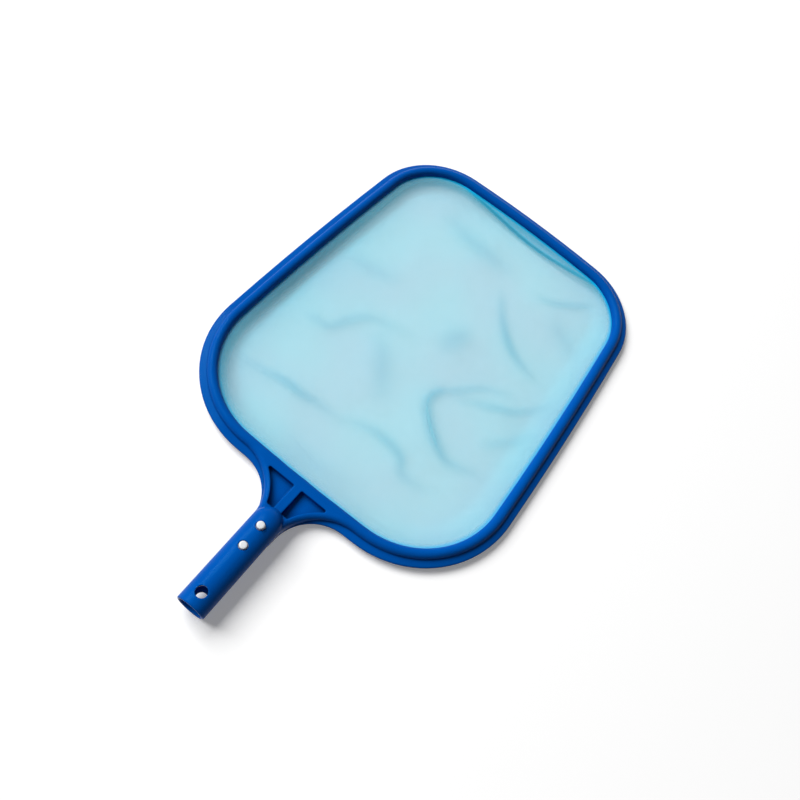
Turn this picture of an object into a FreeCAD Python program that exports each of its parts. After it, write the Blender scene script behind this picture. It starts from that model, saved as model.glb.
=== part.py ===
import FreeCAD, Part
import math
import os
from FreeCAD import Vector

# Flat leaf skimmer for a telescopic pool pole, lying on its back on the floor.
# X runs from the open end of the handle to the leading edge, Y across the net, Z up.
# Every piece is drawn with X = 0 at the open end of the handle and Z = 0 on the
# floor, and is moved at the end so that the origin is the middle of the footprint.
# All sizes are in millimetres.

# handle tube, which slips into the end of the pole
handle_radius = 14.0
handle_wall = 2.4
handle_length = 93.0
handle_nose_length = 15.0
handle_mouth_chamfer = 0.8
cross_hole_radius = 5.25
cross_hole_from_mouth = 13.7

# opening of the rim: a rounded trapezoid, wider at the handle, with bowed sides
opening_length = 371.0
near_width = 305.0
far_width = 270.0
near_corner_radius = 87.0
far_corner_radius = 62.5
near_bow = 4.1
far_bow = 6.9
side_bow = 4.5
mouth_to_opening = 147.0

# section of the rim, measured outwards from the opening and up from the floor
bead_width = 10.0
rim_height = 15.5
rim_wall = 2.4
net_seat_height = 9.0
channel_height = 12.6
flange_width = 6.9
flange_underside = 6.0
flange_root_height = 10.0
flange_edge_height = 8.2
flange_edge_bevel = 0.6
flange_edge_land = 1.2

# gusset between the rim and the handle
lip_neck_radius = 43.0
wall_neck_radius = 50.0
wall_tuck = 0.6
wall_thickness = 5.4
web_root_spread = 6.0
lip_overlap = 1.5
fairing_run = 22.0
fairing_end_half_width = 7.5
crest_drop = 0.3
ramp_run = 35.0
ramp_rise = 9.8
ramp_overlap = 1.0
bar_width = 11.2
pocket_length = 29.0
pocket_rib = 8.2
pocket_corner_radius = 1.6
pocket_corner_share = 0.45
pocket_floor_bevel = 1.0
pocket_floor_height = 9.2

# fine mesh and the hoop that clamps its edge
net_thickness = 0.6
net_sag_run = 24.0
net_floor_gap = 1.0
hoop_clearance = 0.15
hoop_foot = 2.0
hoop_wall = 1.5
hoop_tongue_clearance = 0.5

# acetal snap clip inside the handle
button_radius = 3.6
button_hole_clearance = 0.7
button_dome = 0.9
button_crown = 1.6
button_crown_steps = 2
outer_button_from_mouth = 63.0
inner_button_from_mouth = 84.7
inner_button_rise = 3.0
clip_pivot_from_mouth = 36.0
clip_clearance = 0.1
clip_half_width = 5.5
clip_leg_thickness = 2.8
clip_tip = 4.5
clip_tip_rounding = 0.7
clip_end_gap = 0.2
knuckle_radius = 1.0
knuckle_rise = 0.3
knuckle_gap = 0.6
knuckle_half_width = 3.6
knuckle_clearance = 0.05
floor_gap = 0.2

# points closer than this are one point
same_point = 0.001

# sizes that follow from those above
flange_reach = bead_width + flange_width
handle_axis_height = handle_radius + inner_button_rise + floor_gap
bore_radius = handle_radius - handle_wall
clip_end = inner_button_from_mouth + button_radius + clip_tip
bore_depth = clip_end + clip_end_gap
near_chord = mouth_to_opening + near_bow
far_chord = near_chord + opening_length
overall_length = far_chord + far_bow + flange_reach
net_underside = net_seat_height - net_thickness
neck_half_width = handle_radius - wall_tuck
web_edge_radius = bead_width / 2 - crest_drop


def polar(centre, radius, angle):
    """Point at a distance and an angle from a centre, in the floor plane."""
    return centre + Vector(radius * math.cos(angle), radius * math.sin(angle), 0)


def heading(a, b):
    """Angle of the line from a to b."""
    return math.atan2(b.y - a.y, b.x - a.x)


class BowedOutline:
    """Closed convex outline of circular arcs: bowed sides joined by tangent corners.

    An arc is (centre, radius, first angle, last angle), turning anticlockwise, so
    the outline at a distance outwards is the same arcs with longer radii.
    """

    def __init__(self, corners, bows, radii):
        count = len(corners)
        sides = [self.bowed_side(corners[i], corners[(i + 1) % count], bows[i])
                 for i in range(count)]
        self.sides = sides
        rounds = [self.corner_centre(sides[i - 1], sides[i], radii[i], corners[i])
                  for i in range(count)]
        self.arcs = []
        for i in range(count):
            after = (i + 1) % count
            centre, radius = sides[i]
            first = heading(centre, rounds[i])
            last = heading(centre, rounds[after])
            self.arcs.append((centre, radius, first, self.onwards(first, last)))
            centre, radius = rounds[after], radii[after]
            first = heading(sides[i][0], centre)
            last = heading(sides[after][0], centre)
            self.arcs.append((centre, radius, first, self.onwards(first, last)))

    @staticmethod
    def onwards(first, last):
        """The last angle, turned on until it is past the first."""
        while last < first:
            last += 2 * math.pi
        return last

    @staticmethod
    def bowed_side(a, b, bow):
        """Centre and radius of the arc from a to b that stands out by the bow."""
        chord = a.distanceToPoint(b)
        radius = (chord * chord / 4 + bow * bow) / (2 * bow)
        inwards = Vector(a.y - b.y, b.x - a.x, 0) / chord
        return (a + b) / 2 + inwards * (radius - bow), radius

    @staticmethod
    def corner_centre(side_a, side_b, radius, corner):
        """Centre of the circle that touches two sides from inside, near a corner."""
        (ca, ra), (cb, rb) = side_a, side_b
        ra, rb = ra - radius, rb - radius
        apart = ca.distanceToPoint(cb)
        along = (ra * ra - rb * rb + apart * apart) / (2 * apart)
        across = math.sqrt(ra * ra - along * along)
        unit = (cb - ca) / apart
        foot = ca + unit * along
        choices = [foot + Vector(-unit.y, unit.x, 0) * side * across for side in (1, -1)]
        return min(choices, key=lambda point: point.distanceToPoint(corner))

    def face(self, outwards):
        """Flat face inside the outline, moved outwards."""
        edges = []
        for centre, radius, first, last in self.arcs:
            r = radius + outwards
            points = [polar(centre, r, a) for a in (first, (first + last) / 2, last)]
            edges.append(Part.Arc(*points).toShape())
        return Part.Face(Part.Wire(Part.__sortEdges__(edges)))

    def plate(self, outwards, bottom, top):
        """Flat plate inside the outline, between two heights."""
        plate = self.face(outwards).extrude(Vector(0, 0, top - bottom))
        plate.translate(Vector(0, 0, bottom))
        return plate

    def swept(self, section):
        """Section, drawn as outwards and up, turned about the centre of every arc."""
        spans = [turned(section, *arc) for arc in self.arcs]
        return spans[0].multiFuse(spans[1:]).removeSplitter()


def turned(section, centre, radius, first, last, side=1):
    """Section turned from one angle to another about an upright axis.

    Side is 1 where outwards in the section is away from the axis, -1 where it is
    towards the axis.
    """
    edges = []
    for piece in section:
        points = [Vector(radius + side * out, 0, up) for out, up in piece]
        line = Part.LineSegment if len(points) == 2 else Part.Arc
        edges.append(line(*points).toShape())
    solid = Part.Face(Part.Wire(edges)).revolve(
        Vector(0, 0, 0), Vector(0, 0, 1), math.degrees(last - first))
    solid.rotate(Vector(0, 0, 0), Vector(0, 0, 1), math.degrees(first))
    solid.translate(centre)
    return solid


def straight_lines(points):
    """Section pieces that join points one after another, where they differ."""
    return [(a, b) for a, b in zip(points, points[1:]) if math.dist(a, b) > same_point]


def flange_lines():
    """Section of the lip outside the bead, from its root over its edge and back."""
    edge = flange_reach
    top = flange_edge_height - flange_edge_bevel
    return straight_lines([(bead_width, flange_root_height),
                           (edge - flange_edge_bevel, flange_edge_height), (edge, top),
                           (edge, top - flange_edge_land), (bead_width, flange_underside)])


def rim_section():
    """Section of the rim before it is hollowed: an arched bead with the lip outside."""
    middle = bead_width / 2
    shoulder = rim_height - middle
    arch = [((0, shoulder), (middle, rim_height), (bead_width, shoulder))]
    down = straight_lines([(bead_width, shoulder), (bead_width, flange_root_height)])
    under = straight_lines([(bead_width, flange_underside), (bead_width, 0), (0, 0),
                            (0, shoulder)])
    return arch + down + flange_lines() + under


def channel_section():
    """Section of the hollow under the bead, stepped where the inner lip ends."""
    skirt = bead_width - rim_wall
    return straight_lines([(0, 0), (skirt, 0), (skirt, channel_height),
                           (rim_wall, channel_height), (rim_wall, net_seat_height),
                           (0, net_seat_height), (0, 0)])


def neck_centre(side, radius, start, outwards):
    """Centre of a hollow curve that leads from the handle into the near side.

    It touches the line at the starting distance from the handle's middle plane, and
    from outside the near side of the rim, moved outwards.
    """
    centre, near_radius = outline.sides[-1]
    across = start + radius
    reach = near_radius + outwards + radius
    return Vector(centre.x - math.sqrt(reach * reach - across * across), side * across, 0)


def lip_centre(side):
    """Centre of the curve of the lip's edge at the neck."""
    return neck_centre(side, lip_neck_radius, neck_half_width, flange_reach)


def wall_centre(side):
    """Centre of the curve of the raised wall at the neck."""
    return neck_centre(side, wall_neck_radius, neck_half_width, bead_width)


def raised_plan():
    """Plan of the raised web: both wall curves, closed along the bead's crest."""
    centre, near_radius = outline.sides[-1]
    crest_radius = near_radius + bead_width / 2
    starts, middles, ends, roots = [], [], [], []
    for side in (-1, 1):
        curve = wall_centre(side)
        first, last = -side * math.pi / 2, heading(curve, centre)
        starts.append(polar(curve, wall_neck_radius, first))
        middles.append(polar(curve, wall_neck_radius, (first + last) / 2))
        ends.append(polar(curve, wall_neck_radius, last))
        spread = side * web_root_spread / crest_radius
        roots.append(polar(centre, crest_radius, heading(centre, curve) - spread))
    crest = centre - Vector(crest_radius, 0, 0)
    edges = [Part.Arc(starts[0], middles[0], ends[0]), Part.LineSegment(ends[0], roots[0]),
             Part.Arc(roots[0], crest, roots[1]), Part.LineSegment(roots[1], ends[1]),
             Part.Arc(ends[1], middles[1], starts[1]), Part.LineSegment(starts[1], starts[0])]
    return Part.Face(Part.Wire([edge.toShape() for edge in edges]))


def neck_lip(side):
    """Lip of the rim, carried on along one side of the neck."""
    centre = lip_centre(side)
    inner = bead_width - lip_overlap
    root = straight_lines([(bead_width, flange_underside), (inner, flange_underside),
                           (inner, flange_root_height), (bead_width, flange_root_height)])
    ends = sorted([heading(centre, outline.sides[-1][0]), -side * math.pi / 2])
    return turned(flange_lines() + root, centre, lip_neck_radius + flange_reach, *ends, side=-1)


def raised_web():
    """Raised part of the gusset: a ramp up to the handle with rounded outer edges."""
    flat = rim_height - crest_drop
    foot = handle_length + ramp_run
    radius = (ramp_run * ramp_run + ramp_rise * ramp_rise) / (2 * ramp_rise)
    web = raised_plan().extrude(Vector(0, 0, flat + ramp_rise))
    web.translate(Vector(0, 0, flange_underside))
    width = near_width
    above = Part.makeBox(near_chord, width, near_chord, Vector(foot, -width / 2, flat))
    ramp = Part.makeCylinder(radius, width, Vector(foot, -width / 2, flat + radius),
                             Vector(0, 1, 0))
    before = Part.makeBox(handle_length, width, near_chord,
                          Vector(-ramp_overlap, -width / 2, 0))
    web = web.cut(above).cut(ramp).cut(before)
    rounded = [edge for edge in web.Edges
               if edge.BoundBox.ZMin > (flat + flange_underside) / 2
               and edge.BoundBox.YLength > web_edge_radius / 2
               and edge.BoundBox.YMin * edge.BoundBox.YMax > 0
               and edge.BoundBox.XLength > edge.BoundBox.YLength / 2]
    return web.makeFillet(web_edge_radius, rounded)


def fairing():
    """Block below the handle that narrows along two arcs until it is inside the handle."""
    start = lip_centre(1).x
    end = handle_length + lip_overlap
    narrowing = neck_half_width - fairing_end_half_width
    radius = (fairing_run ** 2 + narrowing ** 2) / (2 * narrowing)
    turn = math.asin(fairing_run / radius)
    edges, tips = [], []
    for side in (-1, 1):
        centre = Vector(start, side * (neck_half_width - radius), 0)
        wide, middle, tip = [polar(centre, radius, side * (math.pi / 2 + angle))
                             for angle in (0, turn / 2, turn)]
        edges += [Part.Arc(wide, middle, tip).toShape(),
                  Part.makeLine(wide, Vector(end, side * neck_half_width, 0))]
        tips.append(tip)
    edges += [Part.makeLine(*tips), Part.makeLine(Vector(end, -neck_half_width, 0),
                                                  Vector(end, neck_half_width, 0))]
    plan = Part.Face(Part.Wire(Part.__sortEdges__(edges)))
    block = plan.extrude(Vector(0, 0, handle_axis_height - flange_underside))
    block.translate(Vector(0, 0, flange_underside))
    return block


def pocket(side):
    """Three-cornered pocket of the gusset, on one side of its middle rib."""
    bar = mouth_to_opening - bar_width
    start = bar - pocket_length
    rib = pocket_rib / 2
    high = handle_axis_height + handle_radius
    centre, radius = wall_centre(1), wall_neck_radius + wall_thickness
    narrow = centre.y - math.sqrt(radius ** 2 - (start - centre.x) ** 2) - rib
    rounding = min(pocket_corner_radius, pocket_corner_share * narrow)
    block = Part.makeBox(pocket_length, centre.y - rib, high,
                         Vector(start, rib, pocket_floor_height))
    block = block.cut(Part.makeCylinder(radius, 2 * high, centre))
    block = min(block.Solids, key=lambda solid: solid.CenterOfMass.y)
    upright = [edge for edge in block.Edges
               if edge.Length > high / 2 and abs(edge.tangentAt(edge.FirstParameter).z) > 0.99]
    block = block.makeFillet(rounding, upright)
    bottom = [edge for edge in block.Edges
              if abs(edge.BoundBox.ZMax - pocket_floor_height) < 0.01]
    block = block.makeChamfer(pocket_floor_bevel, bottom)
    if side < 0:
        block = block.mirror(Vector(0, 0, 0), Vector(0, 1, 0))
    return block


def handle_nose():
    """Pointed end of the handle in the gusset; its arched side starts in line with the tube."""
    radius = (handle_nose_length ** 2 + handle_radius ** 2) / (2 * handle_radius)
    turn = math.asin(handle_nose_length / radius)
    root = Vector(handle_length, 0, 0)
    centre = root + Vector(0, handle_radius - radius, 0)
    side = [polar(centre, radius, math.pi / 2 - angle) for angle in (0, turn / 2, turn)]
    arch = Part.Arc(*side).toBSpline().toShape()
    edges = [arch, Part.makeLine(side[-1], root), Part.makeLine(root, side[0])]
    nose = Part.Face(Part.Wire(edges)).revolve(root, Vector(1, 0, 0), 360)
    nose.translate(Vector(0, 0, handle_axis_height))
    return nose


def handle_outside():
    """Outside of the handle: a round bar with a chamfered mouth and a pointed end."""
    axis = Vector(0, 0, handle_axis_height)
    bar = Part.makeCylinder(handle_radius, handle_length, axis, Vector(1, 0, 0))
    mouth = [edge for edge in bar.Edges if edge.BoundBox.XMax < 0.01]
    bar = bar.makeChamfer(handle_mouth_chamfer, mouth)
    return bar.fuse(handle_nose())


def handle_hollow():
    """Everything cut out of the handle: the bore, the cross hole and button holes."""
    axis = Vector(0, 0, handle_axis_height)
    bore = Part.makeCylinder(bore_radius, bore_depth, axis, Vector(1, 0, 0))
    lead = Part.makeCone(bore_radius + handle_mouth_chamfer, bore_radius,
                         handle_mouth_chamfer, axis, Vector(1, 0, 0))
    hole_radius = button_radius + button_hole_clearance
    holes = [(cross_hole_from_mouth, cross_hole_radius),
             (outer_button_from_mouth, hole_radius), (inner_button_from_mouth, hole_radius)]
    cuts = [Part.makeCylinder(radius, 3 * handle_radius, Vector(x, 0, 0)) for x, radius in holes]
    return bore.multiFuse([lead] + cuts)


def make_frame():
    """The one-piece moulding: rim, gusset and handle."""
    body = outline.swept(rim_section())
    body = body.multiFuse([raised_web(), fairing(), neck_lip(-1), neck_lip(1), handle_outside()])
    hollows = [outline.swept(channel_section()), handle_hollow(), pocket(-1), pocket(1)]
    return body.cut(hollows).removeSplitter()


def make_net():
    """The slack mesh: its edge is flat under the inner lip, then it sags to the floor."""
    top = net_floor_gap + net_thickness
    slope = straight_lines([(rim_wall, net_seat_height), (0, net_seat_height),
                            (-net_sag_run, top), (-net_sag_run, net_floor_gap),
                            (0, net_underside), (rim_wall, net_underside),
                            (rim_wall, net_seat_height)])
    middle = outline.plate(-net_sag_run, net_floor_gap, top)
    return outline.swept(slope).fuse(middle).removeSplitter()


def make_hoop():
    """The hoop pressed into the open bead: a foot under the mesh and a springy wall."""
    outer = bead_width - rim_wall - hoop_clearance
    tongue = channel_height - hoop_tongue_clearance
    foot = net_underside - hoop_foot
    section = [(0, foot), (outer, foot), (outer, tongue), (outer - hoop_wall, tongue),
               (outer - hoop_wall, net_underside), (0, net_underside), (0, foot)]
    return outline.swept(straight_lines(section))


def clip_reach():
    """Radius of the legs' crowned outside, just inside the bore."""
    return bore_radius - clip_clearance


def clip_pivot(side):
    """Middle of the bend between the clip's bow and one of its legs."""
    height = clip_reach() - clip_leg_thickness / 2 - knuckle_rise
    return Vector(clip_pivot_from_mouth, 0, handle_axis_height + side * height)


def crowned(shape, radius):
    """The part of a shape that is inside a round bar on the handle's axis."""
    round_bar = Part.makeCylinder(radius, overall_length,
                                  Vector(0, 0, handle_axis_height), Vector(1, 0, 0))
    return shape.common(round_bar)


def knuckle(side, radius, half_width):
    """Round bar across the clip at the bend of one leg."""
    return Part.makeCylinder(radius, 2 * half_width,
                             clip_pivot(side) - Vector(0, half_width, 0), Vector(0, 1, 0))


def make_clip_bow():
    """The U-shaped bow of the snap clip, wedged in the bore; it springs both legs out."""
    axis = Vector(0, 0, handle_axis_height)
    outer = bore_radius
    inner = clip_reach() - clip_leg_thickness
    behind = knuckle_radius + knuckle_gap
    centre = axis + Vector(clip_pivot_from_mouth - behind, -clip_half_width, 0)
    across = Vector(0, 1, 0)
    width = 2 * clip_half_width
    ring = Part.makeCylinder(outer, width, centre, across)
    ring = ring.cut(Part.makeCylinder(inner, width, centre, across))
    ring = ring.cut(Part.makeBox(2 * outer, width, 4 * outer, centre - Vector(0, 0, 2 * outer)))
    ends = Part.makeBox(behind, width, 2 * outer, centre - Vector(0, 0, outer))
    ends = ends.cut(Part.makeBox(behind, width, 2 * inner, centre - Vector(0, 0, inner)))
    bow = crowned(ring.fuse(ends), outer)
    for side in (-1, 1):
        seat = knuckle(side, knuckle_radius + knuckle_clearance, clip_half_width)
        bow = bow.cut(seat)
    return bow.removeSplitter()


def button_rise(from_mouth):
    """Height of a button above the handle, in proportion to its lever arm."""
    arm = from_mouth - clip_pivot_from_mouth
    return inner_button_rise * arm / (inner_button_from_mouth - clip_pivot_from_mouth)


def crown_steps():
    """Radii of a button's crown and how far below its top they are, outermost first.

    They lie on a quarter of an ellipse, as wide and as deep as the crown.
    """
    angles = [step * math.pi / 2 / button_crown_steps for step in range(button_crown_steps)]
    flat = button_radius - button_crown
    return [(flat + button_crown * math.cos(a), button_dome * (1 - math.sin(a)))
            for a in angles] + [(flat, 0)]


def make_clip_leg(side):
    """One leg of the snap clip, with its two domed buttons."""
    inner = clip_reach() - clip_leg_thickness
    start = clip_pivot_from_mouth + knuckle_radius + knuckle_gap
    bar = Part.makeBox(clip_end - start, 2 * clip_half_width, clip_leg_thickness,
                       Vector(start, -clip_half_width, handle_axis_height + inner))
    tips = [edge for edge in bar.Edges
            if abs(edge.tangentAt(edge.FirstParameter).z) > 0.99 and edge.BoundBox.XMin > start]
    bar = bar.makeFillet(clip_half_width * clip_tip_rounding, tips)
    leg = crowned(bar, clip_reach())
    pivot = clip_pivot(1)
    neck = Part.makeBox(start - pivot.x, 2 * knuckle_half_width, 2 * knuckle_radius,
                        pivot - Vector(0, knuckle_half_width, knuckle_radius))
    parts = [neck, knuckle(1, knuckle_radius, knuckle_half_width)]
    for from_mouth in (outer_button_from_mouth, inner_button_from_mouth):
        top = handle_radius + button_rise(from_mouth)
        base = clip_reach() - clip_leg_thickness / 2
        steps = [(button_radius, base - top)]
        steps += [(radius, -drop) for radius, drop in crown_steps()]
        profile = [(0, base - top)] + steps + [(0, 0), (0, base - top)]
        button = Part.Face(Part.Wire([Part.makeLine(Vector(a[0], 0, a[1]), Vector(b[0], 0, b[1]))
                                      for a, b in straight_lines(profile)]))
        button = button.revolve(Vector(0, 0, 0), Vector(0, 0, 1), 360)
        button.translate(Vector(from_mouth, 0, handle_axis_height + top))
        parts.append(button)
    leg = leg.multiFuse(parts).removeSplitter()
    if side < 0:
        leg = leg.mirror(Vector(0, 0, handle_axis_height), Vector(0, 0, 1))
    return leg


near_half, far_half = near_width / 2, far_width / 2
outline = BowedOutline(
    [Vector(near_chord, -near_half, 0), Vector(far_chord, -far_half, 0),
     Vector(far_chord, far_half, 0), Vector(near_chord, near_half, 0)],
    [side_bow, far_bow, side_bow, near_bow],
    [near_corner_radius, far_corner_radius, far_corner_radius, near_corner_radius])

pieces = {
    "frame_and_handle": make_frame(),
    "fine_net": make_net(),
    "net_clamp_hoop": make_hoop(),
    "snap_clip_bow": make_clip_bow(),
    "snap_clip_upper_leg": make_clip_leg(1),
    "snap_clip_lower_leg": make_clip_leg(-1),
}

os.makedirs("parts", exist_ok=True)
for name, shape in pieces.items():
    shape.translate(Vector(-overall_length / 2, 0, 0))
    shape.exportStep(f"parts/{name}.step")
    box = shape.BoundBox
    print(f"{name}: {len(shape.Solids)} solid, valid {shape.isValid()}, "
          f"{shape.Volume / 1000:.2f} cm3, x {box.XMin:.2f} {box.XMax:.2f}, "
          f"y {box.YMin:.2f} {box.YMax:.2f}, z {box.ZMin:.2f} {box.ZMax:.2f}")
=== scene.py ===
# %% [markdown]
# # A flat leaf skimmer, dressed for its picture
#
# A leaf skimmer is the simplest tool of a swimming pool: a moulded plastic rim with a
# fine mesh in it, on a short tube that slips into a telescopic pole. The rim, the tube,
# the hoop that clamps the mesh and the snap clip inside the tube are already built as
# exact solids. This script loads them, gives each one its real finish, and makes the one
# piece that a solid can't show: the thin, loose mesh that sags to the floor in soft folds.
#
# Lengths are in metres, as Blender counts them, unless a name or a comment says millimetres.

import math

import bpy
import numpy as np
from mathutils import Matrix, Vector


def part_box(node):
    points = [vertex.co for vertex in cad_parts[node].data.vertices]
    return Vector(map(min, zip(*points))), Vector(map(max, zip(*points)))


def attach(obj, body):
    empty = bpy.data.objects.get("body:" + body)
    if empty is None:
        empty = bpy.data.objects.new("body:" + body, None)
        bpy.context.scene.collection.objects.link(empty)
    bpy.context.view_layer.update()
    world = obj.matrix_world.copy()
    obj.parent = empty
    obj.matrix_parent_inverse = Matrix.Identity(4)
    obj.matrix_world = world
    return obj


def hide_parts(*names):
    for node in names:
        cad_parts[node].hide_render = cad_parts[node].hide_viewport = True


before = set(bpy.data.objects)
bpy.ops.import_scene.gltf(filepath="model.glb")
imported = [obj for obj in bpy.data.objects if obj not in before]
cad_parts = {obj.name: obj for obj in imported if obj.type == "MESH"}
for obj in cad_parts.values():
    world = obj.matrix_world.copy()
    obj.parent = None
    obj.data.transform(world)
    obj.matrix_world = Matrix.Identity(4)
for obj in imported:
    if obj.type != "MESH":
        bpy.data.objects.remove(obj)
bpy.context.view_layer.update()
MM = 0.001
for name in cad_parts:
    low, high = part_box(name)
    print(name, "from", [round(v / MM, 1) for v in low], "to", [round(v / MM, 1) for v in high])

# %% [markdown]
# ## The camera
#
# The skimmer is looked at from above the handle, a little to one side, so that the handle
# points to the lower left and the net fans out behind it. A camera could be aimed with a
# constraint, but its roll would then be level with the floor. Here it is given its right
# and the way it looks back, and its up follows from the two. That also holds the slight
# roll of the view. The view transform is Standard, which shows a colour as it is lit.

# %% Place the camera
CAMERA_PLACE = (-0.3682, -0.1023, 0.7251)
CAMERA_RIGHT = (0.5883, -0.7825, 0.2045)
CAMERA_BACK = (-0.4505, -0.1071, 0.8863)
CAMERA_LENS = 38.2


def unit(vector):
    """The vector divided by its own length."""
    vector = np.asarray(vector, dtype=float)
    return vector / np.linalg.norm(vector)


def matrix_from(place, right, back):
    """Columns right, up, back and place, where up is back x right, all square to each other."""
    back = unit(back)
    right = unit(np.asarray(right) - np.dot(right, back) * back)
    up = np.cross(back, right)
    rows = [[right[i], up[i], back[i], place[i]] for i in range(3)]
    return Matrix(rows + [[0, 0, 0, 1]])


camera_data = bpy.data.cameras.new("studio_camera")
camera_data.lens = CAMERA_LENS
camera_data.sensor_width = 36
camera_data.clip_start = 0.01
camera = bpy.data.objects.new("studio_camera", camera_data)
camera.matrix_world = matrix_from(CAMERA_PLACE, CAMERA_RIGHT, CAMERA_BACK)
bpy.context.collection.objects.link(camera)
bpy.context.scene.camera = camera
bpy.context.scene.view_settings.view_transform = "Standard"
print("camera lens", CAMERA_LENS, "mm, at", CAMERA_PLACE)

# %% [markdown]
# ## Small helpers for materials
#
# Every finish below is a Principled BSDF with some nodes in front of it. They could be
# placed by hand in the Shader Editor, but a script says what each one is for. One helper
# adds any node and sets its inputs. The others add the few kinds that come up again and
# again, and give back the output that the next node needs, so a line reads like a sum.

# %% Helpers that add nodes
def add(tree, kind, inputs=None, **settings):
    """Adds a node; inputs maps a socket's name or number to a value or to an output."""
    node = tree.nodes.new(kind)
    for key, value in settings.items():
        setattr(node, key, value)
    for key, value in (inputs or {}).items():
        if isinstance(value, bpy.types.NodeSocket):
            tree.links.new(value, node.inputs[key])
        else:
            node.inputs[key].default_value = value
    return node


def maths(tree, operation, *values, clamp=False):
    """One step of arithmetic on its values, in the order that the operation takes them."""
    node = add(tree, "ShaderNodeMath", dict(enumerate(values)), operation=operation,
               use_clamp=clamp)
    return node.outputs[0]


def ranged(tree, value, start, end, to=(0.0, 1.0), curve="LINEAR"):
    """Stretches start..end to the range `to`, and holds what lies outside at its ends."""
    node = add(tree, "ShaderNodeMapRange",
               {"Value": value, "From Min": start, "From Max": end, "To Min": to[0],
                "To Max": to[1]}, interpolation_type=curve)
    return node.outputs[0]


def mixed(tree, share, first, second):
    """A colour between two others: the first at share 0, the second at share 1."""
    node = add(tree, "ShaderNodeMix", {"Factor": share, 6: first, 7: second}, data_type="RGBA")
    return node.outputs[2]


def scaled(tree, vector, factor):
    """A vector, or a colour, times one number."""
    node = add(tree, "ShaderNodeVectorMath", {0: vector, "Scale": factor}, operation="SCALE")
    return node.outputs[0]


def noise(tree, place, scale, detail, roughness=0.5):
    """Soft random values around a half, with `scale` lumps to each unit of the place."""
    node = add(tree, "ShaderNodeTexNoise", {"Vector": place, "Scale": scale, "Detail": detail,
                                            "Roughness": roughness})
    return node.outputs["Fac"]


# %% [markdown]
# ## Colours, materials and groups
#
# A colour is easily judged in steps from 0 to 255, but those steps aren't even in light,
# which is what a shader counts in, so one helper turns them into light. A second makes a
# material, with every value that stays the same all over set on the shader's own sockets.
# The third makes an empty node group, which keeps an effect that two materials share.

# %% Helpers for colours, materials and groups
def colour(red, green, blue):
    """A colour given in the 0-255 steps of a paint chart, as the linear light a shader uses."""
    steps = np.array([red, green, blue]) / 255
    linear = np.where(steps <= 0.04045, steps / 12.92, ((steps + 0.055) / 1.055) ** 2.4)
    return (*(float(v) for v in linear), 1.0)


def new_material(name, **constants):
    """A material with one Principled BSDF, whose constant sockets are set here."""
    material = bpy.data.materials.new(name)
    material.use_nodes = True
    shader = material.node_tree.nodes["Principled BSDF"]
    for key, value in constants.items():
        shader.inputs[key.replace("_", " ")].default_value = value
    return material, material.node_tree, shader


def new_group(name, inputs, outputs):
    """A shader node group with named inputs (socket kind, default) and outputs (socket kind)."""
    group = bpy.data.node_groups.new(name, "ShaderNodeTree")
    for title, (kind, value) in inputs.items():
        socket = group.interface.new_socket(title, in_out="INPUT", socket_type=kind)
        if value is not None:
            socket.default_value = value
    for title, kind in outputs.items():
        group.interface.new_socket(title, in_out="OUTPUT", socket_type=kind)
    return group, group.nodes.new("NodeGroupInput").outputs, group.nodes.new("NodeGroupOutput").inputs


FLOAT, VECTOR = "NodeSocketFloat", "NodeSocketVector"

# %% [markdown]
# ## What moulded plastic looks like close up
#
# Polypropylene from a polished mould isn't perfectly smooth. The skin has a very fine
# grain, long shallow flow waves from the filling of the mould, and after some handling a
# few hair scratches and dull smears. One group makes all of them from noise on Object
# coordinates, so it can be placed in the blue plastic and, with other values, in the
# white plastic of the snap clip. The scratches are noise stretched fourteen times along
# one slanted line, of which only the highest values are kept.

# %% Group: moulded skin
GRAIN_SHARE = 0.25
SCRATCH_DEPTH = -0.2
SCRATCH_DULLNESS = 0.5
skin, given, out = new_group(
    "moulded_skin",
    {"Vector": (VECTOR, None), "Grain Size": (FLOAT, 2500.0), "Flow Size": (FLOAT, 28.0),
     "Scratch Size": (FLOAT, 90.0)},
    {"Height": FLOAT, "Dull": FLOAT, "Tone": FLOAT})
grain = noise(skin, given["Vector"], given["Grain Size"], detail=2.0, roughness=0.6)
flow = noise(skin, given["Vector"], given["Flow Size"], detail=3.0)
stretched = add(skin, "ShaderNodeMapping", {"Vector": given["Vector"], "Scale": (1.0, 14.0, 14.0),
                                            "Rotation": (0.2, 0.1, 0.5)})
hairs = noise(skin, stretched.outputs[0], given["Scratch Size"], detail=4.0, roughness=0.65)
scratches = ranged(skin, hairs, start=0.62, end=0.74)
waves = maths(skin, "ADD", flow, maths(skin, "MULTIPLY", grain, GRAIN_SHARE))
cut = maths(skin, "MULTIPLY_ADD", scratches, SCRATCH_DEPTH, waves)
smears = ranged(skin, flow, start=0.42, end=0.68)
dull = maths(skin, "MULTIPLY_ADD", scratches, SCRATCH_DULLNESS, smears, clamp=True)
for title, value in (("Height", cut), ("Dull", dull), ("Tone", flow)):
    skin.links.new(value, out[title])
print("group moulded_skin has", len(skin.nodes), "nodes")

# %% [markdown]
# ## From the skin to a shader
#
# The group's three values drive the colour, the roughness and the bump. Two more things
# are added. No mould has knife-sharp edges, so a Bevel node turns the normals near each
# edge, which is cheaper than cutting a radius on every edge of a dense mesh. And an
# Ambient Occlusion node darkens the colour in grooves and pockets: this is painted shade,
# which makes them deeper in tone than open faces.

# %% Dress a shader in the skin
CLOSED_IN, WIDE_OPEN = 0.25, 0.95


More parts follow.
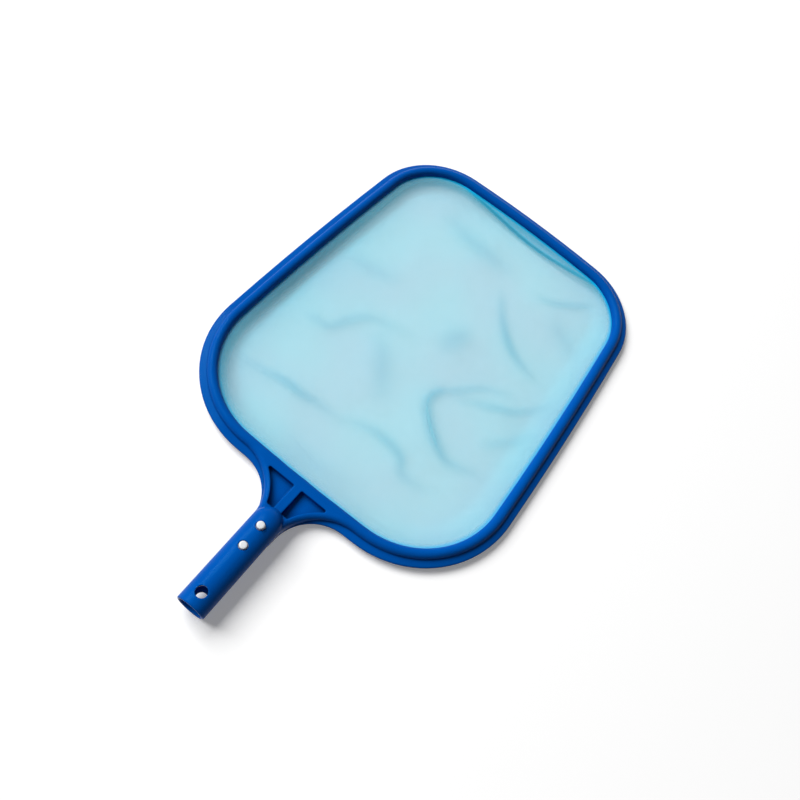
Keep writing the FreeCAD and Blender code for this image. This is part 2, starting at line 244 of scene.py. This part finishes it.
def dress(tree, shader, sizes, tones, roughness, bump, corner, painted_cavity_shade):
    """Feeds a shader from the skin group, whose inputs are set from `sizes`.

    Colour runs between two tones, roughness between two values, and bump has a strength
    and a height in metres. Normals turn within `corner` metres of an edge. The last pair
    paints shade into hollows: where the surface is closed in within its first value in
    metres, the colour falls to its second value times itself.
    """
    place = add(tree, "ShaderNodeTexCoord").outputs["Object"]
    surface = add(tree, "ShaderNodeGroup", node_tree=skin)
    tree.links.new(place, surface.inputs["Vector"])
    for title, size in sizes.items():
        surface.inputs[title].default_value = size
    tone = mixed(tree, surface.outputs["Tone"], *tones)
    # Painted shade: the colour darkens where the surface is closed in, in grooves and pockets.
    openness = add(tree, "ShaderNodeAmbientOcclusion", {"Distance": painted_cavity_shade[0]}, samples=8,
                   only_local=True).outputs["AO"]
    tone_with_painted_shade = scaled(tree, tone, ranged(tree, openness, CLOSED_IN, WIDE_OPEN, (painted_cavity_shade[1], 1.0)))
    rough = ranged(tree, surface.outputs["Dull"], 0.0, 1.0, roughness)
    rounded = add(tree, "ShaderNodeBevel", {"Radius": corner}, samples=6).outputs[0]
    relief = add(tree, "ShaderNodeBump", {"Height": surface.outputs["Height"], "Strength": bump[0],
                                          "Distance": bump[1], "Normal": rounded}).outputs[0]
    for title, value in (("Base Color", tone_with_painted_shade), ("Roughness", rough), ("Normal", relief)):
        tree.links.new(value, shader.inputs[title])


# %% [markdown]
# ## The blue rim and handle
#
# The rim and its tube are one injection moulding in a deep royal blue. The colour is in
# the plastic itself, so there is no paint edge anywhere. It has a soft gloss, not a
# mirror: a lamp draws one faint bright line along the tube. A strong gloss would mirror
# the white room over the blue and make it milky, so the specular level is low, and its
# tint keeps the line blue. The hoop under the rim is the same plastic.

# %% Material: royal blue moulded plastic
blue, tree, shader = new_material("royal_blue_plastic", Specular_IOR_Level=0.045, IOR=1.49,
                                  Specular_Tint=(0.1, 0.6, 1.0, 1.0))
# The last pair paints shade into grooves and pockets, down to 0.42 of the colour.
dress(tree, shader, sizes={"Grain Size": 2500.0, "Flow Size": 26.0, "Scratch Size": 90.0},
      tones=(colour(0, 78, 167), colour(0, 88, 178)), roughness=(0.1, 0.22),
      bump=(0.25, 0.12 * MM), corner=2.2 * MM, painted_cavity_shade=(12 * MM, 0.42))
print("material", blue.name)

# %% [markdown]
# ## The white snap clip
#
# The clip with its two pairs of buttons is acetal, a slippery white plastic with a satin
# face. It rubs in the pole's holes, so it is a little duller and greyer than new.

# %% Material: white acetal
white, tree, shader = new_material("white_acetal", Specular_IOR_Level=0.4, IOR=1.48)
# The last pair paints shade into hollows, down to 0.7 of the colour.
dress(tree, shader, sizes={"Grain Size": 4000.0, "Flow Size": 180.0, "Scratch Size": 400.0},
      tones=(colour(222, 226, 232), colour(238, 240, 242)), roughness=(0.32, 0.5),
      bump=(0.3, 0.05 * MM), corner=0.4 * MM, painted_cavity_shade=(3 * MM, 0.7))
print("material", white.name)

# %% [markdown]
# ## The fine mesh as a finish
#
# The mesh is a plain weave of pale blue threads, finer than a millimetre, and the floor
# shows through it. Modelling each thread would take millions of faces. Instead the weave
# is a pattern on the sheet's own UV map, in millimetres of cloth, so it follows the cloth
# into its folds. Where a thread passes, the sheet is more solid, and in the gaps it is
# nearly clear.

# %% Group: plain weave
weave, given, out = new_group(
    "plain_weave", {"Vector": (VECTOR, None), "Threads": (FLOAT, 1.0)},
    {"Thread": FLOAT, "Height": FLOAT})
across = add(weave, "ShaderNodeSeparateXYZ", {0: scaled(weave, given["Vector"], given["Threads"])})
ridges = []
for axis in (0, 1):
    wave = maths(weave, "COSINE", maths(weave, "MULTIPLY", across.outputs[axis], 2 * math.pi))
    ridges.append(ranged(weave, wave, start=-0.4, end=0.8))
weave.links.new(maths(weave, "MAXIMUM", *ridges), out["Thread"])
weave.links.new(maths(weave, "ADD", *ridges), out["Height"])
print("group plain_weave has", len(weave.nodes), "nodes")

# %% [markdown]
# ## Where the mesh is deeper in colour
#
# Where the cloth is gathered in a fold, more threads lie behind each other: less floor
# shows, and the colour is deeper. The deeper colour along the creases, and beside the
# rim, most of all on the left, is also painted shade. One attribute says how much of
# both, from 0 to 2. A thin bright band close to the rim, and a strip behind the far
# pleat, are painted glow, as if light came through the cloth from behind; a second
# attribute says where. Both are worked out with the shape of the cloth, further down.
# The plain colour itself wanders a little between two tones, in soft patches about
# seven centimetres across.

# %% Material: pale blue mesh
THREADS_PER_MM = 1.6
THREAD_RELIEF = 0.1 * MM
PATCHES_PER_MM = 0.014
COVER_IN_GAP, COVER_ON_THREAD = 0.11, 0.29
COVER_BY_FOLD_AND_SHADE, COVER_BY_GLOW = 0.26, 0.3
mesh_finish, tree, shader = new_material("pale_blue_mesh", Specular_IOR_Level=0.1,
                                         Sheen_Weight=0.1, Roughness=0.6)
cloth = add(tree, "ShaderNodeUVMap", uv_map="cloth_mm").outputs[0]
woven = add(tree, "ShaderNodeGroup", node_tree=weave)
tree.links.new(cloth, woven.inputs["Vector"])
woven.inputs["Threads"].default_value = THREADS_PER_MM
folds_and_painted_shade, painted_glow = (add(tree, "ShaderNodeAttribute", attribute_name=title).outputs["Fac"]
               for title in ("folds_and_painted_shade", "painted_rim_glow"))
clouds = noise(tree, cloth, PATCHES_PER_MM, detail=0.0)
patches = ranged(tree, clouds, start=0.3, end=0.7, curve="SMOOTHSTEP")
plain = mixed(tree, patches, colour(40, 217, 241), colour(68, 208, 236))
# Deeper colours for folds and creases: partly the denser cloth, partly painted shade.
deep = mixed(tree, folds_and_painted_shade, plain, colour(0, 188, 222))
deepest = mixed(tree, maths(tree, "SUBTRACT", folds_and_painted_shade, 1.0), deep, colour(0, 156, 190))
# Painted glow: a bright cyan near the rim and behind the pleat, which also covers more.
with_painted_glow = mixed(tree, painted_glow, deepest, colour(0, 196, 250))
by_thread = ranged(tree, woven.outputs["Thread"], 0.0, 1.0, (COVER_IN_GAP, COVER_ON_THREAD))
by_fold_and_shade = maths(tree, "MULTIPLY_ADD", folds_and_painted_shade, COVER_BY_FOLD_AND_SHADE, by_thread, clamp=True)
cover = maths(tree, "MULTIPLY_ADD", painted_glow, COVER_BY_GLOW, by_fold_and_shade, clamp=True)
relief = add(tree, "ShaderNodeBump", {"Height": woven.outputs["Height"], "Strength": 0.15,
                                      "Distance": THREAD_RELIEF}).outputs[0]
for title, value in (("Base Color", with_painted_glow), ("Alpha", cover), ("Normal", relief)):
    tree.links.new(value, shader.inputs[title])
print("material", mesh_finish.name, "with", THREADS_PER_MM, "threads a millimetre")

# %% [markdown]
# ## Where the mesh is held
#
# The mesh is pinched all round between the rim and the hoop. Its cut edge is the outline
# of the built piece, so the outline is read back from it. The outline has no hollows, so
# in every direction from the middle the point that reaches furthest lies on it.

# %% Read the outline of the clamped edge
DIRECTIONS = 1440
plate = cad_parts["fine_net"].data
corners = np.empty(3 * len(plate.vertices))
plate.vertices.foreach_get("co", corners)
corners = corners.reshape(-1, 3)
plate_low, plate_high = corners.min(axis=0), corners.max(axis=0)
plate_middle = (plate_low + plate_high) / 2
half_length = (plate_high[0] - plate_low[0]) / 2
half_width = (plate_high[1] - plate_low[1]) / 2
looks = np.linspace(0, 2 * math.pi, DIRECTIONS, endpoint=False)
reach = (corners[:, :2] - plate_middle[:2]) @ np.array([np.cos(looks), np.sin(looks)])
edge_points = corners[np.unique(reach.argmax(axis=0)), :2] - plate_middle[:2]
edge_points = edge_points[np.argsort(np.arctan2(edge_points[:, 1], edge_points[:, 0]))]
print("clamped edge has", len(edge_points), "points, and is",
      round(2 * half_length / MM, 1), "by", round(2 * half_width / MM, 1), "mm")

# %% [markdown]
# ## Even steps along the edge
#
# The built outline has many points round its corners and few along its sides. The distance
# of the cloth from its edge will be measured to the nearest point, which is only true when
# the points lie close together. So the outline is walked again in short, even steps.

# %% Walk the edge in even steps
EDGE_STEPS = 900


def around(points, count):
    """Points at equal steps along a closed chain of straight runs, by length from its start."""
    chain = np.vstack([points, points[:1]])
    runs = np.linalg.norm(np.diff(chain, axis=0), axis=1)
    walked = np.concatenate([[0], np.cumsum(runs)])
    steps = np.linspace(0, walked[-1], count, endpoint=False)
    return np.column_stack([np.interp(steps, walked, chain[:, axis]) for axis in (0, 1)])


edge = around(edge_points, EDGE_STEPS)
print("the edge has", len(edge), "even steps")

# %% [markdown]
# ## The grid of the cloth
#
# A sheet inside a rounded outline can be made by filling the outline with triangles, but
# they would all meet the edge at different angles and crease there. A grid that is
# squeezed to the outline has lines that follow it round the corners instead. Each row is a
# straight line across the net, whose ends lie on the edge, and the rows are set closer
# together at the two ends, where the outline turns. The first and last rows lie a hair
# inside the ends, because the edge has no width at its very tip.

# %% Lay out the grid
ROWS, COLUMNS = 238, 196
HAIR_INSIDE = 0.99995


def half_width_at(places):
    """Half the outline's width at each place along it, from the edge's two long sides."""
    sides = []
    for part, sign in ((edge[edge[:, 1] >= 0], 1), (edge[edge[:, 1] < 0], -1)):
        part = part[np.argsort(part[:, 0])]
        sides.append(np.interp(places, part[:, 0], sign * part[:, 1]))
    return (sides[0] + sides[1]) / 2


turns = np.linspace(0, math.pi, ROWS + 1)
row_places = -half_length * np.cos(turns) * HAIR_INSIDE
widths = half_width_at(row_places)
shares = np.linspace(-1, 1, COLUMNS + 1)
grid_x = np.repeat(row_places[:, None], COLUMNS + 1, axis=1)
grid_y = widths[:, None] * shares[None, :]
print("grid of", ROWS, "by", COLUMNS, "cells, widest row", round(2 * widths.max() / MM, 1), "mm")

# %% [markdown]
# ## How the mesh hangs
#
# The clamped edge is almost 9 mm above the floor, and the mesh is cut a little too big, so
# it leaves the rim, drops, and lies slack just over the floor. Three things make its
# height: the drop from the edge, long shallow waves in the slack cloth, and single creases
# where the spare cloth has been pushed into a ridge. A cloth simulation would give folds of
# its own choice. Here they are given one by one, each as a formula of the distance to
# something, so they lie where the real ones do. First come the distance and the curves
# that use it.

# %% Distance from the edge
def nearest(points_x, points_y, line):
    """For each grid point, the distance to the nearest point of a line, and that point's number."""
    best = np.full(points_x.shape, np.inf)
    which = np.zeros(points_x.shape, dtype=int)
    for number, (x, y) in enumerate(line):
        gap = (points_x - x) ** 2 + (points_y - y) ** 2
        closer = gap < best
        best[closer] = gap[closer]
        which[closer] = number
    return np.sqrt(best), which


def smooth(value):
    """0 below 0, 1 above 1, and 3v^2 - 2v^3 between."""
    v = np.clip(value, 0, 1)
    return v * v * (3 - 2 * v)


def bell(distance, reach):
    """1 at no distance, falling as exp(-(distance / reach) squared)."""
    return np.exp(-(distance / reach) ** 2)


def fading(distance, reach):
    """1 at no distance, falling as exp(-distance / reach), with a longer tail than a bell."""
    return np.exp(-distance / reach)


from_edge, _ = nearest(grid_x, grid_y, edge)
# The border of the grid is the edge itself.
from_edge[[0, -1], :] = 0
from_edge[:, [0, -1]] = 0
print("middle of the net is", round(from_edge.max() / MM), "mm from the edge")

# %% [markdown]
# ## The drop from the edge
#
# The hoop grips the cloth's outer few millimetres, which stay level. From there the cloth
# slopes down to the floor: steeply at the far end and along the left side, that of +Y, and
# in a longer slope along the rest. How far a point lies towards those two is told by its
# direction from the middle, in radians from +X.

# %% Drop the cloth
SOLID_THICKNESS = 0.6 * MM
CLAMPED_HEIGHT = plate_high[2] - SOLID_THICKNESS / 2
RESTING_HEIGHT = 1.3 * MM
CLAMP_DEPTH = 2.7 * MM
LONGEST_DROP, LESS_AT_FAR_END, LESS_AT_LEFT = 26 * MM, 12 * MM, 10 * MM
FAR_END_SPREAD = 0.55
LEFT_DIRECTION, LEFT_SPREAD = 1.7, 0.9
direction = np.arctan2(grid_y / half_width, grid_x / half_length)
at_far_end = bell(direction, FAR_END_SPREAD)
at_left = bell(direction - LEFT_DIRECTION, LEFT_SPREAD)
past_clamp = np.maximum(from_edge - CLAMP_DEPTH, 0)
fallen = smooth(past_clamp / (LONGEST_DROP - LESS_AT_FAR_END * at_far_end - LESS_AT_LEFT * at_left))
height = CLAMPED_HEIGHT + (RESTING_HEIGHT - CLAMPED_HEIGHT) * fallen
print("the cloth drops", round(float(CLAMPED_HEIGHT - RESTING_HEIGHT) / MM, 1), "mm")

# %% [markdown]
# ## Waves in the slack cloth
#
# Cloth that is too big for its frame doesn't lie flat, but in long, low waves. Each one is
# a sine across the floor, with its own direction, length and height. Six of them, all in
# different directions, add up to a surface without a regular pattern.

# %% Long shallow waves
WAVES = [  # direction in degrees, length and height in millimetres, start in radians
    (12, 118, 0.55, 0.4),
    (64, 87, 0.50, 2.1),
    (108, 66, 0.40, 4.0),
    (151, 141, 0.60, 1.3),
    (35, 41, 0.16, 5.2),
    (96, 33, 0.12, 0.9),
]
slack = np.zeros_like(height)
for degrees, length, rise, start in WAVES:
    way = grid_x * math.cos(math.radians(degrees)) + grid_y * math.sin(math.radians(degrees))
    slack += rise * MM * (1 + np.sin(2 * math.pi * way / (length * MM) + start)) / 2
height += slack * fallen
print("waves add up to", round(float((slack * fallen).max() / MM), 2), "mm")

# %% [markdown]
# ## Creases
#
# A crease is a curve on the floor. The cloth rises near it as a bell, steep on one side
# and gentle on the other, and the ridge dies away towards both ends of the curve. Its
# colour is deepest on the curve, with a weak skirt that reaches further: partly the
# denser cloth of the fold, partly painted shade.

# %% Creases, as curves on the floor in millimetres from the middle of the skimmer
CREASES = [  # height, width, depth of colour, points
    (1.0, 6.5, 0.40, [(180, -16), (149, -38), (127, -60), (116, -82), (109, -112)]),
    (0.6, 6.0, 0.28, [(193, -45), (204, -73), (221, -94), (232, -106)]),
    (1.2, 6.5, 0.52, [(42, -43), (31, -37), (14, -37), (-4, -54), (-16, -71), (-21, -90),
                      (-10, -126)]),
    (0.6, 5.5, 0.26, [(12, -34), (31, -37), (48, -53), (68, -72), (84, -108)]),
    (0.7, 6.0, 0.30, [(36, -50), (56, -89), (70, -112), (104, -138)]),
    (0.6, 7.0, 0.18, [(10, -98), (33, -119), (60, -138)]),
    (1.0, 7.0, 0.34, [(-57, 22), (-45, -8), (-43, -30), (-48, -50), (-61, -64), (-54, -98)]),
    (1.0, 6.5, 0.40, [(-71, 134), (-64, 98), (-60, 77), (-60, 60), (-57, 43), (-56, 8)]),
    (0.8, 7.0, 0.26, [(14, 118), (12, 104), (16, 86), (32, 77), (49, 65), (57, 46), (66, 8)]),
    (0.5, 14.0, 0.22, [(116, -26), (92, -16), (66, -12)]),
    (0.5, 13.0, 0.22, [(214, 92), (205, 52), (201, 14), (201, -20)]),
    (0.4, 12.0, 0.14, [(95, 128), (98, 94), (112, 62)]),
    (0.4, 12.0, 0.14, [(184, -70), (176, -98), (158, -126)]),
    (0.6, 12.0, 0.10, [(-96, 60), (-104, 10), (-98, -48)]),
    (0.5, 13.0, 0.20, [(50, 52), (17, 21), (-20, -4)]),
]
CURVE_STEPS = 80


def curve_through(points):
    """A smooth curve through the points: Catmull-Rom, each run blended from its four points."""
    knots = np.asarray(points, dtype=float)
    knots = np.vstack([2 * knots[0] - knots[1], knots, 2 * knots[-1] - knots[-2]])
    # The last place is a hair short of the last point, so it still belongs to the last run.
    place = np.linspace(0, len(points) - 1 - 1e-9, CURVE_STEPS)
    first = place.astype(int)
    t = (place - first)[:, None]
    a, b, c, d = (knots[first + step] for step in range(4))
    return 0.5 * (2 * b + (c - a) * t + (2 * a - 5 * b + 4 * c - d) * t ** 2
                  + (3 * b - a - 3 * c + d) * t ** 3)


def along_curve(points):
    """The curve in the grid's own axes, and for each grid point its gap to the curve, the
    nearest step of it, and how far along that is as an angle, nearly 0 and pi at the ends."""
    line = curve_through(points) * MM - plate_middle[:2]
    gap, number = nearest(grid_x, grid_y, line)
    return line, gap, number, math.pi * (number + 0.5) / len(line)


# %% Raise the creases
STEEP_SIDE = (0.1, -1.0)
GENTLE_GAIN = 1.6
TURN_WIDTHS = 4
CORE_SHARE, CORE_WIDTH = 0.75, 0.85
SKIRT_SHARE, SKIRT_WIDTH = 0.25, 1.6
RIDGE_START = 6 * MM
fold_and_painted_shade = np.zeros_like(height)
ridge_height = np.zeros_like(height)
for rise, width, depth, points in CREASES:
    width = width * MM
    line, gap, number, half_turn = along_curve(points)
    side = (grid_x - line[number, 0]) * STEEP_SIDE[0] + (grid_y - line[number, 1]) * STEEP_SIDE[1]
    gentle = 1 + GENTLE_GAIN * smooth(0.5 - side / (TURN_WIDTHS * width))
    fade = np.sin(half_turn)
    ridge_height += rise * MM * fade * bell(gap, gentle * width)
    # Deeper colour along the crease: partly the denser cloth, partly painted shade.
    core = CORE_SHARE * bell(gap, CORE_WIDTH * width)
    skirt = SKIRT_SHARE * fading(gap, SKIRT_WIDTH * width)
    fold_and_painted_shade += depth * fade * (core + skirt)
height += ridge_height * smooth(past_clamp / RIDGE_START)
print(len(CREASES), "creases")

# %% [markdown]
# ## The pleat along the far rim
#
# Where the net was clamped at the far end, the spare cloth lies in one long pleat just
# inside the rim. Its crease is a fine, deep line of colour, partly the doubled cloth and
# partly painted shade, that keeps its depth almost to its ends: a low power of the sine
# does that. `behind` is 1 between the crease and the rim.

# %% The pleat, as a curve in millimetres from the middle of the skimmer
PLEAT = [(253, 92), (251.5, 72), (250, 52), (248.5, 31), (247, 10), (246, -11), (246, -33),
         (247, -56), (249, -78), (252, -100)]
PLEAT_RISE, PLEAT_WIDTH = 0.5 * MM, 2.5 * MM
PLEAT_DEPTH, CREASE_WIDTH = 2.4, 1.6 * MM
ENDS_POWER = 0.4
TURN_OVER = 2 * MM
line, gap, number, half_turn = along_curve(PLEAT)
fade = np.sin(half_turn) ** ENDS_POWER
behind = fade * smooth((grid_x - line[number, 0]) / TURN_OVER + 0.5)
# The crease's deep colour: partly doubled cloth, partly painted shade.
fold_and_painted_shade += PLEAT_DEPTH * fade * bell(gap, CREASE_WIDTH)
height += PLEAT_RISE * fade * bell(gap, PLEAT_WIDTH)
print("the pleat is", round(float(np.hypot(*(line[-1] - line[0]))) / MM), "mm long")

# %% [markdown]
# ## Painted shade and glow beside the rim
#
# The slope under the rim is given painted shade, a deeper colour, most of all on the
# left. A thin band right at the rim is painted to glow, with a faint tail that is
# stronger on the left, and so is the strip behind the pleat, which stands up double and
# gets less of the painted shade for it. Light that passes through cloth could be traced,
# at the cost of much noise. Here it is painted with the two attributes of the finish.

# %% Deeper colour and glow near the rim
DEEPEST_FOLD = 2
PAINTED_SLOPE_SHADES = [(0.22, 0.1, 10 * MM), (0.14, 0.2, 30 * MM)]  # everywhere, more at left, reach
LESS_BEHIND = 0.6
BAND_WIDTH = 2.4 * MM
STRIP_GLOW, STRIP_START = 0.42, 1.5 * MM
TAIL_GLOW, TAIL_AT_LEFT, TAIL_REACH = 0.1, 0.3, 9 * MM
# Painted shade on the slope under the rim, more on the left.
painted_slope_shade = sum((everywhere + more * at_left) * fading(past_clamp, reach)
            for everywhere, more, reach in PAINTED_SLOPE_SHADES)
fold_and_painted_shade = np.minimum(fold_and_painted_shade + (1 - LESS_BEHIND * behind) * painted_slope_shade, DEEPEST_FOLD)
# Painted glow: a band at the rim, the strip behind the pleat, and a faint tail.
band = bell(past_clamp, BAND_WIDTH)
strip = STRIP_GLOW * behind * (gap > STRIP_START)
tail = (TAIL_GLOW + TAIL_AT_LEFT * at_left) * fading(past_clamp, TAIL_REACH)
painted_rim_glow = np.maximum(np.maximum(band, strip), tail)
print("highest point of the cloth is at", round(float(height.max() / MM), 1), "mm")

# %% [markdown]
# ## From numbers to cloth
#
# The grid becomes a mesh with one foreach_set per list. Its UV map is the flat cloth in
# millimetres, which is what the weave follows. A Solidify modifier then gives the cloth
# its thread's thickness, equally to both sides, so it stays between the rim and the hoop.

# %% Build the cloth
THREAD_THICKNESS = 0.4 * MM


def sheet_mesh(name, x, y, z):
    """A mesh of quads over a grid: corner (i, j) is point i * columns + j, faces upwards."""
    rows, columns = x.shape
    mesh = bpy.data.meshes.new(name)
    number = np.arange(rows * columns).reshape(rows, columns)
    quads = np.stack([number[:-1, :-1], number[1:, :-1], number[1:, 1:], number[:-1, 1:]], axis=-1)
    quads = quads.reshape(-1, 4)
    mesh.vertices.add(rows * columns)
    mesh.loops.add(quads.size)
    mesh.polygons.add(len(quads))
    mesh.vertices.foreach_set("co", np.column_stack([x.ravel(), y.ravel(), z.ravel()]).ravel())
    mesh.loops.foreach_set("vertex_index", quads.ravel())
    mesh.polygons.foreach_set("loop_start", np.arange(0, quads.size, 4))
    mesh.update(calc_edges=True)
    mesh.shade_smooth()
    return mesh, quads


cloth_mesh, quads = sheet_mesh("mesh_cloth", grid_x + plate_middle[0], grid_y + plate_middle[1], height)
flat = np.column_stack([grid_x.ravel(), grid_y.ravel()]) / MM
cloth_mesh.uv_layers.new(name="cloth_mm").data.foreach_set("uv", flat[quads.ravel()].ravel())
# Stores the fold depth with its painted shade, and the painted glow, for the finish.
for title, amount in (("folds_and_painted_shade", fold_and_painted_shade), ("painted_rim_glow", painted_rim_glow)):
    cloth_mesh.attributes.new(title, "FLOAT", "POINT").data.foreach_set("value", amount.ravel())
cloth_mesh.materials.append(mesh_finish)
net = bpy.data.objects.new("mesh_cloth", cloth_mesh)
bpy.context.collection.objects.link(net)
thread = net.modifiers.new("thread_thickness", "SOLIDIFY")
thread.thickness = THREAD_THICKNESS
thread.offset = 0
print("cloth of", len(cloth_mesh.polygons), "quads")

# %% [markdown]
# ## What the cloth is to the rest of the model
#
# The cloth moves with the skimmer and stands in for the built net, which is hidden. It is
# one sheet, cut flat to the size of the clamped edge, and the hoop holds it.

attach(net, "skimmer")
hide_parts("fine_net")

# %% [markdown]
# ## Finishes on the built pieces
#
# The other pieces keep their own exact shape and only change their finish. Each came with
# a plain material in one slot, and the finish takes its place there.

# %% Give each built piece its finish
FINISHES = {
    "frame_and_handle": blue,
    "net_clamp_hoop": blue,
    "snap_clip_bow": white,
    "snap_clip_upper_leg": white,
    "snap_clip_lower_leg": white,
}
for name, finish in FINISHES.items():
    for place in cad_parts[name].material_slots:
        place.material = finish
    print(name, "is", finish.name)

# %% [markdown]
# ## The floor
#
# The skimmer lies on white studio paper. What the paper bounces up onto the object is a
# plain grey, so that the shaded sides stay deep. For the camera, and for what glossy
# surfaces mirror, the paper is nearly white, and the little that it lacks is added as
# light of its own. So it stays white and still keeps the shadow. Away from the object the
# added light grows, until the paper's far edge can't be told from the white room. Seen
# from below the paper is clear, so that the underside can be looked at.

# %% Make the floor
FLOOR_HALF = 3.0
BOUNCED, SHOWN = (0.55, 0.55, 0.55, 1), (0.93, 0.93, 0.93, 1)
ADDED_NEAR, ADDED_FAR = 0.18, 1.0
FADE_FROM, FADE_TO = 0.7, 2.4
floor_mesh = bpy.data.meshes.new("studio_floor")
floor_mesh.from_pydata([(x * FLOOR_HALF, y * FLOOR_HALF, 0) for x, y in
                        ((-1, -1), (1, -1), (1, 1), (-1, 1))], [], [(0, 1, 2, 3)])
floor = bpy.data.objects.new("studio_floor", floor_mesh)
bpy.context.collection.objects.link(floor)
paper, tree, shader = new_material("white_paper", Roughness=1.0, Specular_IOR_Level=0.0,
                                   Emission_Color=(1, 1, 1, 1))
rays = add(tree, "ShaderNodeLightPath").outputs
seen = maths(tree, "MAXIMUM", rays["Is Camera Ray"], rays["Is Glossy Ray"])
spot = add(tree, "ShaderNodeTexCoord").outputs["Object"]
away = add(tree, "ShaderNodeVectorMath", {0: spot}, operation="LENGTH").outputs["Value"]
added = ranged(tree, away, FADE_FROM, FADE_TO, (ADDED_NEAR, ADDED_FAR), "SMOOTHSTEP")
from_below = add(tree, "ShaderNodeNewGeometry").outputs["Backfacing"]
for title, value in (("Base Color", mixed(tree, seen, BOUNCED, SHOWN)),
                     ("Emission Strength", maths(tree, "MULTIPLY", seen, added)),
                     ("Alpha", maths(tree, "SUBTRACT", 1.0, from_below))):
    tree.links.new(value, shader.inputs[title])
floor_mesh.materials.append(paper)
print("floor of", 2 * FLOOR_HALF, "m with", paper.name)

# %% [markdown]
# ## The room
#
# A studio's white walls can be built, or be the background of the world. Here the world
# is plain white to look at, also in a mirror and through something clear, but it lights
# the object only weakly, so that the lamps make the shape.

# %% Room light and background
FILL = 0.04
world = bpy.data.worlds.new("studio_room")
world.use_nodes = True
bpy.context.scene.world = world
tree = world.node_tree
background = tree.nodes["Background"]
rays = add(tree, "ShaderNodeLightPath").outputs
seen = rays["Is Camera Ray"]
for title in ("Is Glossy Ray", "Is Transmission Ray"):
    seen = maths(tree, "MAXIMUM", seen, rays[title])
tree.links.new(ranged(tree, seen, 0.0, 1.0, (FILL, 1.0)), background.inputs["Strength"])
background.inputs["Color"].default_value = (1, 1, 1, 1)
print("room light", FILL)

# %% [markdown]
# ## The lamps
#
# The light comes from one broad softbox beside the net, about half way up the sky, which
# throws a soft shadow to the other side. A narrow strip lamp stands just below its middle.
# It is there for the bright line along the tube alone, so it casts no shadow of its own.

# %% Place the lamps
LAMP_DISTANCE = 7.0
LAMP_ALONG = 0.1
AIM = (0, 0, 0)


def lamp_beside(name, degrees, size, power, shadow):
    """A rectangular lamp beside the net, at an angle in degrees above the floor, aimed at
    the middle, wide by high in metres, with its power in watts."""
    rise = math.radians(degrees)
    place = (LAMP_ALONG, LAMP_DISTANCE * math.cos(rise), LAMP_DISTANCE * math.sin(rise))
    data = bpy.data.lights.new(name, "AREA")
    data.shape = "RECTANGLE"
    data.size, data.size_y = size
    data.energy = power
    data.use_shadow = shadow
    lamp = bpy.data.objects.new(name, data)
    back = np.subtract(place, AIM)
    lamp.matrix_world = matrix_from(place, np.cross((0, 0, 1), back), back)
    bpy.context.collection.objects.link(lamp)
    print(name, "at", [round(v, 2) for v in place], "with", power, "W")


lamp_beside("key_softbox", degrees=48, size=(5.2, 4.4), power=640, shadow=True)
lamp_beside("strip_softbox", degrees=44, size=(5.2, 0.12), power=40, shadow=False)
